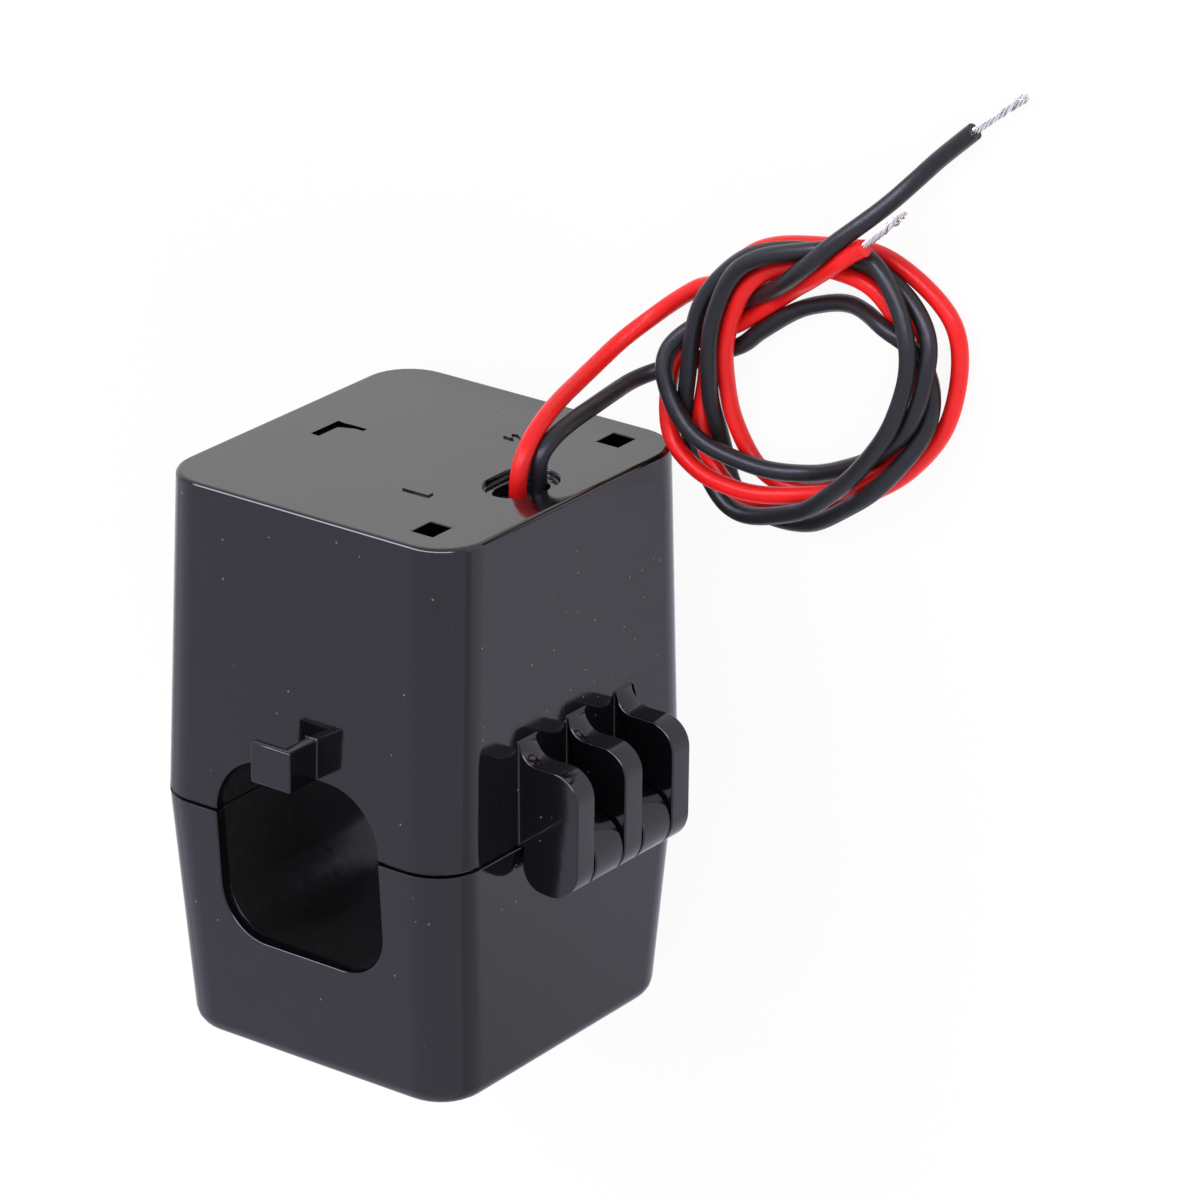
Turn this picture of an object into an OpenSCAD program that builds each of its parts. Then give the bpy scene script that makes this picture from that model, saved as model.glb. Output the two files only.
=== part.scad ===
// Split-core current transformer: a hinged case round a square window, with a wound core inside
// and two wire leads. The case is drawn standing, lead end up, with its parting plane at z = 0,
// the hinge on +x and the front on -y. It is then laid on its back, so that the leads and the
// case lie on the same surface and the window runs straight up.

/* [Case] */
// Width of the case's limb on each side of the window
limb_w = 6.85; // [6.3:0.05:8.5]
// Depth of the case from front to back, at the parting plane
case_d = 32.8; // [31.5:0.1:38]
// Height of the main half, from the parting plane to the lead end
main_h = 26.6; // [25.5:0.1:32]
// Height of the lid half, from the parting plane to its end
lid_h = 20.9; // [20.5:0.1:26]
// How much narrower the main half is at the lead end
main_taper_w = 0.7; // [0:0.1:1.2]
// How much shallower, front to back, the main half is at the lead end
main_taper_d = 1.9; // [0:0.1:3]
// How much narrower the lid half is at its end
lid_taper_w = 2.1; // [0:0.1:2.4]
// How much shallower, front to back, the lid half is at its end
lid_taper_d = 3.5; // [0:0.1:4]
// Radius of the four long corners
corner_r = 4.1; // [2.5:0.1:5]
// Radius of the edge round the lead end
lead_edge_r = 0.4; // [0.3:0.1:1.2]
// Radius of the edge round the lid's end
lid_edge_r = 1.4; // [0.4:0.1:2]
// Thickness of the side walls
wall = 1.2; // [1:0.05:1.3]
// Thickness of the two end walls
end_wall = 1.5; // [1.3:0.1:1.8]
// Gap between the two halves at the parting plane
parting_gap = 0.12; // [0.08:0.02:0.3]
// Clearance between a piece and the pocket that holds it
fit = 0.1; // [0.05:0.01:0.15]

/* [Window] */
// Width of the window for the conductor
window_w = 16; // [12:0.5:16.5]
// Height of the window above the parting plane
window_up = 5.2; // [5.1:0.1:7]
// Height of the window below the parting plane
window_down = 10.8; // [8:0.1:11.2]
// Radius of the window's two upper corners
window_up_r = 5.1; // [2:0.1:5.1]
// Radius of the window's two lower corners
window_down_r = 4.2; // [2:0.1:6]
// How far the tunnel's lining stands back from the window's edge
liner_step = 0.15; // [0.05:0.05:0.3]
// Thickness of the tunnel's lining
liner_wall = 1.0; // [0.8:0.05:1.1]
// Thickness of the inner covers' decks round the pole faces
deck_t = 1.3; // [1:0.1:2]

/* [Hinge] */
// Distance of the hinge axis from the case's side
hinge_out = 2.95; // [2.8:0.05:3.2]
// Depth of the hinge axis below the parting plane
hinge_drop = 0.85; // [0.5:0.05:1]
// Radius of the knuckles and barrels
knuckle_r = 2.65; // [2.2:0.05:2.7]
// Thickness of each of the main half's three hinge ribs
rib_t = 2.3; // [1.8:0.1:2.6]
// Distance from one hinge rib to the next
rib_pitch = 6.25; // [5.8:0.05:7]
// Side gap between a rib and the lid's barrel
rib_gap = 0.2; // [0.1:0.05:0.4]
// Height of the ribs' flat shoulder above the parting plane
rib_top = 7.1; // [6:0.1:9]
// Radius of the ribs' outer shoulder
rib_corner_r = 2.35; // [1:0.05:2.4]
// Radius of the hollow where a rib's top sweeps up into the case
rib_root_r = 1.65; // [1:0.05:2.5]
// Diameter of the hinge pin
pin_d = 1.8; // [1.4:0.1:2.2]
// Radial running clearance between the pin and the lid's barrels
pin_play = 0.05; // [0.02:0.01:0.1]
// Plastic left in front of the blind end of the pin's bore
pin_blind = 1.0; // [0.6:0.1:1.4]

/* [Latch] */
// Width of the lid's snap tongue
tongue_w = 14; // [10:0.5:18]
// Thickness of the snap tongue
tongue_t = 1.2; // [1:0.05:1.5]
// Gap between the tongue and the main half's side
tongue_gap = 0.35; // [0.3:0.05:0.5]
// Height of the tongue above the parting plane
tongue_h = 8.2; // [7.6:0.1:9]
// Width of the catch lug on the main half
lug_w = 7.4; // [5:0.1:10]
// How far the catch lug stands out from the main half
lug_out = 1.25; // [0.8:0.05:1.4]
// Height of the catch lug's flat upper face
lug_top = 5.5; // [5:0.1:5.6]
// Height at which the lug's ramp starts
lug_foot = 3.0; // [2.8:0.1:3.4]
// Clearance between the lug and the window in the tongue
lug_fit = 0.3; // [0.2:0.05:0.4]
// How far the tongue's thumb lip stands out
lip_out = 1.5; // [0.8:0.1:2]

/* [Lead end and front] */
// Distance of the lead exit's middle from the hinge side of the case
exit_in = 5.5; // [5.25:0.05:6]
// Width of the oval step round the lead exit
exit_w = 4.8; // [4:0.1:5.4]
// Length of the oval step
exit_l = 6.8; // [6:0.1:8]
// Depth of the oval step
exit_step = 0.55; // [0.3:0.05:0.8]
// Width of the ledge between the oval step and the through hole
exit_ledge = 0.8; // [0.5:0.05:1]
// Depth of the two small square pits
pit_depth = 1.1; // [0.4:0.1:1.1]
// Width of the tie hook's lip
hook_w = 3.9; // [3:0.1:6]
// Height of the tie hook
hook_h = 3.4; // [2.5:0.1:4]
// How far the tie hook stands out from the front
hook_out = 3.05; // [2.5:0.05:4]
// Thickness of the tie hook's lip
hook_lip_t = 0.75; // [0.6:0.05:1]
// Thickness of the tie hook's web
hook_web_t = 1.0; // [0.7:0.05:1.4]

/* [Core and winding] */
// Free space between the core's legs and the side walls, which leaves room for the case's draft
leg_room = 0.85; // [0.8:0.05:1.2]
// Free space between the bobbin's flanges and the case, front and back
flange_room = 0.9; // [0.3:0.1:2]
// Radius of the core's outer corners
core_r = 3; // [2:0.1:3.4]
// Height of the main core's yoke above the parting plane
yoke_z = 11.5; // [11.2:0.1:12]
// Wall thickness of the bobbin
bobbin_wall = 0.7; // [0.5:0.05:0.8]
// Thickness of the bobbin's end flanges
flange_t = 0.8; // [0.6:0.1:1]
// Space between the bobbin's end flange and the splices beside it
splice_room = 0.4; // [0.1:0.1:2]
// Build-up of the secondary winding
winding_t = 2.0; // [1:0.1:2.2]
// Thickness of the tape round the winding
tape_t = 0.2; // [0.1:0.05:0.3]
// Thickness of the leaf spring behind the lid's core
spring_t = 0.3; // [0.2:0.05:0.5]
// Width of the leaf spring
spring_w = 14; // [8:1:16]

/* [Leads] */
// Diameter of the leads over their insulation
lead_d = 1.4; // [1.2:0.05:1.5]
// Distance between the two leads at their exit
lead_pitch = 2.1; // [2:0.05:2.4]
// Diameter of the bared strand bundles
strand_d = 0.8; // [0.5:0.05:0.9]
// Diameter of the sleeves over the inner splices
splice_d = 1.9; // [1.6:0.05:1.95]
// Outer radius of the coil that the leads are wound into
coil_r = 13; // [12:0.5:14]
// Inner radius of the coil
coil_hole_r = 7.8; // [6:0.1:9]
// Height of the coil
coil_h = 2.8; // [2.6:0.1:4]

/* [Hidden] */

$fn = 64;
hull_fn = 32;      // facets of the circles inside a hull
over = 1;          // how far a cut runs past the face it opens
film = 0.01;       // thickness of the slices that span the case's block
seat = 0.02;       // clearance between pieces that lie on each other

black_plastic = [0.05, 0.05, 0.055];
core_steel = [0.45, 0.46, 0.48];
copper = [0.72, 0.40, 0.16];
tape_yellow = [0.80, 0.62, 0.15];
spring_steel = [0.66, 0.67, 0.70];
nylon_white = [0.86, 0.85, 0.80];
red_pvc = [0.80, 0.06, 0.05];
black_pvc = [0.06, 0.06, 0.065];
tinned = [0.78, 0.78, 0.80];

half_gap = parting_gap / 2;
case_w = window_w + 2 * limb_w;
side_x = case_w / 2;
front_y = case_d / 2;

// Hinge
axis_x = side_x + hinge_out;
axis_z = -hinge_drop;
rib_out_x = axis_x + knuckle_r;
pin_r = pin_d / 2;
rib_ys = [-rib_pitch, 0, rib_pitch];
barrel_ys = [-rib_pitch / 2, rib_pitch / 2];
barrel_l = rib_pitch - rib_t - 2 * rib_gap;
hinge_half_l = rib_pitch + rib_t / 2;
root_depth = 0.6;          // how far ribs, arms and lugs run into the wall that carries them
arm_drop = 2.4;            // depth of the barrels' arms at the lid's wall
heel = 0.6;                // how far the fuller heel of a rib's knuckle sits from the axis

// Latch
tongue_x = side_x + tongue_gap;
tongue_root_z = -4.5;
tongue_bar_z = lug_top + lug_fit;
lip_h = 1.3;
latch_out_x = tongue_x + tongue_t + lip_out;

// Lead end
exit_x = side_x - exit_in;
pit_w = 2.1;
pit_l = 2.25;
pit_x = side_x - 5.1;
pit_y = 11.75;
gate_x = 6.35 - side_x;    // middle of the shallow gate pocket
gate_w = 2.95;
gate_l = 3.3;
gate_depth = 0.35;
seal_h = 2.4;              // depth of the adhesive under the lead exit
seal_margin = 0.4;         // how far the adhesive spreads past the hole
hole_w = exit_w - 2 * exit_ledge;
hole_l = exit_l - 2 * exit_ledge;
seal_top = main_h - end_wall;
seal_foot = seal_top - seal_h;

// Inner pieces
leg_fit = 0.15;            // clearance between the tunnel's lining and the core
flange_rim = 0.35;         // how far the flanges stand above the tape
liner_grow = liner_step + liner_wall;
leg_in = window_w / 2 + liner_grow + leg_fit;
leg_out = side_x - wall - leg_room;
core_t = leg_out - leg_in;
coil_side = fit + bobbin_wall + winding_t + tape_t + flange_rim;
core_d = case_d - main_taper_d - 2 * (wall + flange_room + coil_side);
bobbin_l = 2 * (exit_x - splice_d / 2 - splice_room);
yoke_top = yoke_z + core_t;
yoke_mid = yoke_z + core_t / 2;
lid_yoke = window_down + liner_grow + leg_fit;
lid_yoke_end = lid_yoke + core_t;
lid_floor = lid_h - end_wall;
spring_half = 9;           // half of the leaf spring's span
spring_rise = lid_floor - lid_yoke_end - 2 * seat;
spring_r = (spring_half * spring_half + spring_rise * spring_rise) / (2 * spring_rise);
tube_in_y = core_d + 2 * fit;
tube_in_z = core_t + 2 * fit;
tube_out_y = tube_in_y + 2 * bobbin_wall;
tube_out_z = tube_in_z + 2 * bobbin_wall;
wind_l = bobbin_l - 2 * flange_t;
wind_y = tube_out_y + 2 * winding_t;
wind_z = tube_out_z + 2 * winding_t;

// Place of the parting plane's middle when the case lies on its back
lying_x = -(rib_out_x - latch_out_x) / 2;
lying_y = -(main_h - lid_h) / 2;
lying_z = front_y;
exit_y = lying_y + main_h;
lead_start = lying_y + seal_top;

// The leads' routes, chosen by hand
red_route = [
    [7.9, lead_start, 16.6], [7.9, exit_y, 16.6], [7.9, 25.2, 16.2], [7.8, 26.6, 15.0],
    [7.6, 27.8, 12.9], [7.3, 28.6, 10.4], [7.1, 29.2, 7.9], [7.2, 30.1, 5.4],
    [7.8, 31.4, 3.2], [9.2, 33.0, 1.5], [11.2, 34.8, 0.75], [13.4, 36.3, 0.7]
];
black_route = [
    [8.5, lead_start, 14.8], [8.5, exit_y, 14.8], [8.6, 25.4, 14.75], [8.75, 26.6, 13.3],
    [8.8, 27.3, 10.8], [8.7, 27.6, 8.1], [8.6, 27.9, 5.3], [8.8, 28.3, 2.9],
    [9.8, 28.8, 1.2], [11.2, 29.3, 0.7], [12.6, 29.9, 0.7]
];
red_tail_route = [[27.6, 41.6, 3.5], [29.0, 42.9, 3.5], [30.3, 44.1, 3.3]];
red_strand_end = [33.8, 47.6, 2.5];
black_tail_route = [
    [23.0, 39.0, 3.5], [25.9, 41.9, 3.5], [28.8, 44.6, 2.8], [31.8, 48.0, 1.0],
    [34.9, 51.2, 0.7], [38.2, 54.2, 0.7]
];
black_strand_end = [43.0, 58.0, 0.5];
coil_x = 24.8;
coil_y = 31.2;
lead_sides = 8;

// ---- Shapes that repeat ----

// Lays the standing case on its back, over the origin
module lay_down() {
    translate([lying_x, lying_y, lying_z]) rotate([-90, 0, 0]) children();
}

// Extrudes a profile drawn in x and z along the window's axis, centred front to back
module prism(length) {
    rotate([90, 0, 0]) linear_extrude(length, center = true) children();
}

// One thin slice of the case's block, with its four corner radii
module slice(w, d, r, z) {
    for (sx = [-1, 1], sy = [-1, 1])
        translate([sx * (w / 2 - r), sy * (d / 2 - r), z]) cylinder(h = film, r = r, $fn = hull_fn);
}

// Drafted block of one half, from the parting plane to its end, set in from the outside by inset.
// from is the height at which it starts, and end_inset shortens its far end.
module half_block(h, taper_w, taper_d, edge_r, inset = 0, end_inset = 0, from = half_gap) {
    top = h - end_inset - film;
    hull() {
        slice(case_w - taper_w * from / h - 2 * inset, case_d - taper_d * from / h - 2 * inset,
              corner_r - inset, from);
        for (a = [0:22.5:90]) {
            rim = edge_r * (1 - cos(a)) + inset;
            z = top - edge_r * (1 - sin(a));
            slice(case_w - taper_w * z / h - 2 * rim, case_d - taper_d * z / h - 2 * rim,
                  corner_r - rim, z);
        }
    }
}

module main_block(inset = 0, end_inset = 0, from = half_gap) {
    half_block(main_h, main_taper_w, main_taper_d, lead_edge_r, inset, end_inset, from);
}

module lid_block(inset = 0, end_inset = 0, from = half_gap) {
    mirror([0, 0, 1])
        half_block(lid_h, lid_taper_w, lid_taper_d, lid_edge_r, inset, end_inset, from);
}

// Half of the window's outline, from below the parting plane up to its far edge, grown all round
module window_half(height, r, grow = 0) {
    w = window_w + 2 * grow;
    h = height + grow;
    rr = r + grow;
    translate([-w / 2, -over]) square([w, h - rr + over]);
    translate([rr - w / 2, -over]) square([w - 2 * rr, h + over]);
    for (s = [-1, 1]) translate([s * (w / 2 - rr), h - rr]) circle(rr);
}

module window_up_half(grow = 0) { window_half(window_up, window_up_r, grow); }
module window_down_half(grow = 0) { mirror([0, 1]) window_half(window_down, window_down_r, grow); }

// Flat oval with round ends, long front to back
module oval(w, l) {
    square([w, l - w], center = true);
    for (s = [-1, 1]) translate([0, s * (l - w) / 2]) circle(w / 2);
}

// Rectangle with round corners
module round_rect(w, h, r) {
    square([w - 2 * r, h], center = true);
    square([w, h - 2 * r], center = true);
    for (sx = [-1, 1], sy = [-1, 1]) translate([sx * (w / 2 - r), sy * (h / 2 - r)]) circle(r);
}

// U-shaped half core: legs from z = base up to a yoke from z = yoke
module core_u(base, yoke) {
    top = yoke + core_t;
    inner_r = 0.6;
    prism(core_d) difference() {
        union() {
            translate([-leg_out, base]) square([2 * leg_out, top - core_r - base]);
            translate([core_r - leg_out, base]) square([2 * (leg_out - core_r), top - base]);
            for (s = [-1, 1]) translate([s * (leg_out - core_r), top - core_r]) circle(core_r);
        }
        translate([-leg_in, base - over]) square([2 * leg_in, yoke - inner_r - base + over]);
        translate([inner_r - leg_in, base - over]) square([2 * (leg_in - inner_r), yoke - base + over]);
        for (s = [-1, 1]) translate([s * (leg_in - inner_r), yoke - inner_r]) circle(inner_r);
    }
}

// Openings in an inner cover's deck for the two pole faces
module pole_holes() {
    for (s = [-1, 1])
        translate([s * (leg_in + leg_out) / 2, 0, 0])
            cube([core_t + 2 * fit, core_d + 2 * fit, 4 * deck_t], center = true);
}

// Bore along the hinge axis, between two places along y
module axis_rod(r, y0, y1) {
    translate([axis_x, y1, axis_z]) rotate([90, 0, 0]) cylinder(h = y1 - y0, r = r);
}

// Lead: a tube swept along its own points
function unit(v) = v / norm(v);
function way(p, i) = unit(p[min(i + 1, len(p) - 1)] - p[max(i - 1, 0)]);
function carry(n, t) = unit(n - (n * t) * t);
function normals(p, i = 0, n = [0.6, -0.8, 0.1]) =
    i == len(p) ? [] : let(m = carry(n, way(p, i))) concat([m], normals(p, i + 1, m));
module tube(p, d) {
    s = lead_sides;
    side = normals(p);
    points = [
        for (i = [0:len(p) - 1], k = [0:s - 1])
            let(a = 360 * k / s, up = cross(way(p, i), side[i]))
                p[i] + d / 2 * (cos(a) * side[i] + sin(a) * up)
    ];
    faces = concat(
        [[for (k = [s - 1:-1:0]) k]],
        [for (i = [0:len(p) - 2], k = [0:s - 1])
            [i * s + k, i * s + (k + 1) % s, (i + 1) * s + (k + 1) % s, (i + 1) * s + k]],
        [[for (k = [0:s - 1]) (len(p) - 1) * s + k]]
    );
    polyhedron(points, [for (f = faces) [for (k = [len(f) - 1:-1:0]) f[k]]]);
}

// ---- Case ----

// Side view of a hinge rib: knuckle, upright and shoulder, with the hollow at its root
module rib_profile() {
    rim_x = rib_out_x - rib_corner_r;
    translate([axis_x, axis_z]) circle(knuckle_r);
    translate([axis_x - heel, axis_z - heel]) circle(knuckle_r - heel - 0.05);
    translate([side_x - root_depth, half_gap])
        square([rim_x - side_x + root_depth, rib_top - half_gap]);
    translate([axis_x, axis_z]) square([knuckle_r, rib_top - rib_corner_r - axis_z]);
    translate([rim_x, rib_top - rib_corner_r]) circle(rib_corner_r);
    difference() {
        translate([side_x - root_depth, rib_top - film]) square([root_depth + rib_root_r, rib_root_r]);
        translate([side_x + rib_root_r, rib_top + rib_root_r]) circle(rib_root_r);
    }
}

// Side view of a lid barrel with the arm that carries it
module barrel_profile() {
    translate([axis_x, axis_z]) circle(knuckle_r);
    polygon([
        [side_x - root_depth - 0.2, -half_gap], [axis_x, -half_gap],
        [axis_x, axis_z - knuckle_r], [side_x - root_depth - 0.2, -arm_drop]
    ]);
}

module hinge_ribs() {
    difference() {
        for (y = rib_ys) translate([0, y, 0]) prism(rib_t) rib_profile();
        axis_rod(pin_r + seat, -hinge_half_l + pin_blind, hinge_half_l + over);
    }
}

module hinge_barrels() {
    difference() {
        for (y = barrel_ys) translate([0, y, 0]) prism(barrel_l) barrel_profile();
        axis_rod(pin_r + pin_play, -hinge_half_l, hinge_half_l);
    }
}

// Catch lug with its ramp, on the side away from the hinge
module catch_lug() {
    prism(lug_w) polygon([
        [-side_x + root_depth, lug_top], [-side_x - lug_out, lug_top],
        [-side_x - lug_out, lug_top - 0.4], [-side_x + root_depth, lug_foot]
    ]);
}

// Snap tongue of the lid: root, plate with its window, and thumb lip
module snap_tongue() {
    outer = tongue_x + tongue_t;
    difference() {
        prism(tongue_w) polygon([
            [-side_x + root_depth + 0.2, -half_gap - lug_fit], [-tongue_x, -half_gap - lug_fit],
            [-tongue_x, tongue_h], [-outer, tongue_h], [-outer - lip_out, tongue_h - 0.3],
            [-outer - lip_out, tongue_h - 0.8], [-outer, tongue_h - lip_h],
            [-outer, tongue_root_z + 1], [-side_x + root_depth + 0.2, tongue_root_z - 0.6]
        ]);
        translate([-outer - over, -lug_w / 2 - lug_fit, lug_foot - lug_fit])
            cube([tongue_t + 2 * over, lug_w + 2 * lug_fit, tongue_bar_z - lug_foot + lug_fit]);
    }
}

// Hook for a cable tie: an upright lip carried by a web at its hinge side
module tie_hook() {
    lip_y = -front_y - hook_out;
    translate([-hook_w / 2, lip_y, window_up]) cube([hook_w, hook_lip_t, hook_h]);
    translate([hook_w / 2 - hook_web_t, lip_y, window_up])
        cube([hook_web_t, hook_out + root_depth, hook_h]);
}

// Marks and openings of the lead end: oval step and hole, two pits and the gate pocket
module lead_end_cuts() {
    translate([exit_x, 0, main_h - exit_step]) linear_extrude(exit_step + over) oval(exit_w, exit_l);
    translate([exit_x, 0, seal_top - over]) linear_extrude(end_wall + 2 * over) oval(hole_w, hole_l);
    for (s = [-1, 1])
        translate([pit_x - pit_w / 2, s * pit_y - pit_l / 2, main_h - pit_depth])
            cube([pit_w, pit_l, pit_depth + over]);
    translate([gate_x - gate_w / 2, -gate_l / 2, main_h - gate_depth])
        rotate([0, -atan(gate_depth / gate_w), 0]) cube([gate_w, gate_l, over]);
}

module main_housing() {
    color(black_plastic) lay_down() {
        difference() {
            main_block();
            main_block(wall, end_wall, -over);
            prism(case_d + 2 * over) window_up_half();
            lead_end_cuts();
        }
        hinge_ribs();
        catch_lug();
        tie_hook();
    }
}

module lid_housing() {
    color(black_plastic) lay_down() {
        difference() {
            lid_block();
            lid_block(wall, end_wall, -over);
            prism(case_d + 2 * over) window_down_half();
        }
        hinge_barrels();
        snap_tongue();
    }
}

// Covers that line the tunnel and close each half round its pole faces
module main_inner_cover() {
    color(black_plastic) lay_down() difference() {
        intersection() {
            prism(case_d) difference() {
                union() {
                    window_up_half(liner_grow);
                    translate([-side_x, 0]) square([case_w, deck_t]);
                }
                window_up_half(liner_step);
            }
            main_block(wall + fit, end_wall + fit);
        }
        pole_holes();
    }
}

module lid_inner_cover() {
    color(black_plastic) lay_down() difference() {
        intersection() {
            prism(case_d) difference() {
                union() {
                    window_down_half(liner_grow);
                    translate([-side_x, -deck_t]) square([case_w, deck_t]);
                }
                window_down_half(liner_step);
            }
            lid_block(wall + fit, end_wall + fit);
        }
        pole_holes();
    }
}

module hinge_pin() {
    color(spring_steel) lay_down()
        axis_rod(pin_r, -hinge_half_l + pin_blind + seat, hinge_half_l - 0.1);
}

// ---- Core, winding and spring ----

module main_core() {
    color(core_steel) lay_down() core_u(half_gap, yoke_z);
}

module lid_core() {
    color(core_steel) lay_down() mirror([0, 0, 1]) core_u(half_gap, lid_yoke);
}

// Bowed leaf spring between the lid's core and its end wall
module lid_spring() {
    crown = -lid_yoke_end - seat;
    color(spring_steel) lay_down() prism(spring_w) intersection() {
        translate([0, crown - spring_r]) difference() {
            circle(spring_r);
            circle(spring_r - spring_t);
        }
        translate([-spring_half - 1, -lid_floor + seat]) square([2 * spring_half + 2, spring_rise + 1]);
    }
}

// Two-part bobbin round the main core's yoke
module bobbin() {
    translate([0, 0, yoke_mid]) difference() {
        union() {
            cube([bobbin_l, tube_out_y, tube_out_z], center = true);
            for (s = [-1, 1])
                translate([s * (bobbin_l - flange_t) / 2, 0, 0])
                    cube([flange_t, wind_y + 2 * (tape_t + flange_rim), wind_z + 2 * (tape_t + flange_rim)],
                         center = true);
        }
        cube([bobbin_l + 2 * over, tube_in_y, tube_in_z], center = true);
    }
}

module bobbin_upper() {
    color(nylon_white) lay_down() intersection() {
        bobbin();
        translate([-case_w, -case_d, yoke_mid]) cube([2 * case_w, 2 * case_d, case_d]);
    }
}

module bobbin_lower() {
    color(nylon_white) lay_down() intersection() {
        bobbin();
        translate([-case_w, -case_d, yoke_mid - case_d]) cube([2 * case_w, 2 * case_d, case_d]);
    }
}

// Closed band round the bobbin, from an inner to an outer size
module band(length, in_y, in_z, in_r, out_y, out_z, out_r) {
    translate([-length / 2, 0, yoke_mid]) rotate([90, 0, 90]) linear_extrude(length) difference() {
        round_rect(out_y, out_z, out_r);
        if (in_r > 0) round_rect(in_y, in_z, in_r);
        else square([in_y, in_z], center = true);
    }
}

module secondary_winding() {
    color(copper) lay_down()
        band(wind_l - 2 * seat, tube_out_y + 2 * seat, tube_out_z + 2 * seat, 0,
             wind_y, wind_z, winding_t);
}

module winding_tape() {
    color(tape_yellow) lay_down()
        band(wind_l - 2 * fit, wind_y + 2 * seat, wind_z + 2 * seat, winding_t + seat,
             wind_y + 2 * tape_t, wind_z + 2 * tape_t, winding_t + tape_t);
}

// ---- Leads ----

// Adhesive under the exit that anchors both leads
module lead_seal() {
    color(black_plastic) lay_down() translate([exit_x, 0, seal_foot])
        linear_extrude(seal_h) oval(hole_w + 2 * seal_margin, hole_l + 2 * seal_margin);
}

// Sleeved splice between a lead and the winding, standing on the core beside the bobbin
module splice(side) {
    lay_down() translate([exit_x, side * lead_pitch / 2, yoke_top + seat])
        cylinder(h = seal_foot - yoke_top - seat, r = splice_d / 2);
}

module red_splice() { color(red_pvc) splice(-1); }
module black_splice() { color(black_pvc) splice(1); }

module red_lead() { color(red_pvc) tube(red_route, lead_d); }
module black_lead() { color(black_pvc) tube(black_route, lead_d); }

// The wound stretch of both leads, lying on the surface
module lead_coil() {
    w = coil_r - coil_hole_r;
    color(black_pvc) translate([coil_x, coil_y, 0]) rotate_extrude()
        translate([(coil_r + coil_hole_r) / 2, coil_h / 2]) round_rect(w, coil_h, coil_h / 2 - film);
}

module red_tail() { color(red_pvc) tube(red_tail_route, lead_d); }
module black_tail() { color(black_pvc) tube(black_tail_route, lead_d); }

// Bared strand bundle from a tail's end
module strands(from, to) {
    color(tinned) tube([from, to], strand_d);
}

module red_strands() { strands(red_tail_route[len(red_tail_route) - 1], red_strand_end); }
module black_strands() { strands(black_tail_route[len(black_tail_route) - 1], black_strand_end); }

main_housing();
lid_housing();
main_inner_cover();
lid_inner_cover();
main_core();
lid_core();
lid_spring();
bobbin_upper();
bobbin_lower();
secondary_winding();
winding_tape();
hinge_pin();
lead_seal();
red_splice();
black_splice();
red_lead();
black_lead();
lead_coil();
red_tail();
black_tail();
red_strands();
black_strands();
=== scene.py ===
"""A split-core current transformer lying on its back, with its two leads and their loose coil."""

import math

import bpy
import numpy as np
from mathutils import Matrix, Vector


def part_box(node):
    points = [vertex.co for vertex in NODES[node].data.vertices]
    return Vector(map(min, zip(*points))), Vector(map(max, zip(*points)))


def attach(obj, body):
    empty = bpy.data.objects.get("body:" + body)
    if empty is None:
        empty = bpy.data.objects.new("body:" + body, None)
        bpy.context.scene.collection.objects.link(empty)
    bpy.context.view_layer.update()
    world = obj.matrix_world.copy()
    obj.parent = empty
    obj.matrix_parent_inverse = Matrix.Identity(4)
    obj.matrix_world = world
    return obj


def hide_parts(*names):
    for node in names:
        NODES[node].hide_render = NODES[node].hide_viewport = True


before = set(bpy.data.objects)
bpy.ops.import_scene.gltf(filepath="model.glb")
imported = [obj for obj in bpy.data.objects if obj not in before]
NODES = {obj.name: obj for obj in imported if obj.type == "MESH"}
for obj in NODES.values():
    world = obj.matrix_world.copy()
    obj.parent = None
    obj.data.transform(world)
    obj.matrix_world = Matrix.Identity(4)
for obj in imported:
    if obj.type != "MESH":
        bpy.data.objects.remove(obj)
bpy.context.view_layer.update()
MM = 0.001

# The case, in mm. Its long axis is y, and the leads leave it at the end where y is highest.
EXIT_Y = 23.75  # face of the lead end
SEAL_Y = 22.25  # where the leads come out of their seal, inside that face
MID_Z = 16.4  # middle of the case between its back and its front
PARTING_GAP = 0.12  # between the pole faces of the two core halves
MOULD_RADIUS = 0.16
WELD_GAP = 0.0035  # points of a CAD mesh closer than this are joined

# The two square pits of the lead end, in mm. They are painted near black as shade.
PIT_X, PIT_SIDE = 8.475, 11.75  # across, and to either side of the middle
PIT_REACH = (1.15, 1.25)  # half a pit and a little over, in x and z
# Stretches of y, in metres, over which their mask fades in under the floor and out at the rim.
PIT_FLOOR, PIT_RIM = (22.55 * MM, 22.6 * MM), (23.66 * MM, 23.7 * MM)

# The shallow pocket round the moulding gate, in mm. Its two far walls are painted dark as shade, and a strip at
# the foot of the lower one is a painted shadow.
GATE_X = -9.775
GATE_HALF = (1.475, 1.65)  # half the pocket, in x and z
GATE_MASK, GATE_MASK_DEPTH = (1.75, 1.95), 0.45  # a little past its sides and its floor
STEEP, FLAT = 0.3, 0.9  # parts of the normal that tell its walls from its floor
SHADOW_FOOT_SLOPE, SHADOW_FOOT_START = 0.23, 17.18  # slanting line that ends the painted shadow at the foot of the lower wall

# Colours of the surround and the table. The shiny case mirrors them a little violet, as in the photo.
WHITE = (1, 1, 1)
MIRRORED_SURROUND = (0.93, 0.91, 1.13)
MIRRORED_TABLE = (0.93, 0.91, 1.1)


# ---------------------------------------------------------------- shader nodes


def maths(nt, operation, *values):
    """One math node; each value is a socket or a number."""
    m = nt.nodes.new("ShaderNodeMath")
    m.operation = operation
    for socket, value in zip(m.inputs, values):
        if isinstance(value, (int, float)):
            socket.default_value = value
        else:
            nt.links.new(value, socket)
    return m.outputs[0]


def product(nt, first, *others):
    """The product of a socket with other sockets or numbers."""
    for factor in others:
        first = maths(nt, "MULTIPLY", first, factor)
    return first


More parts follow.
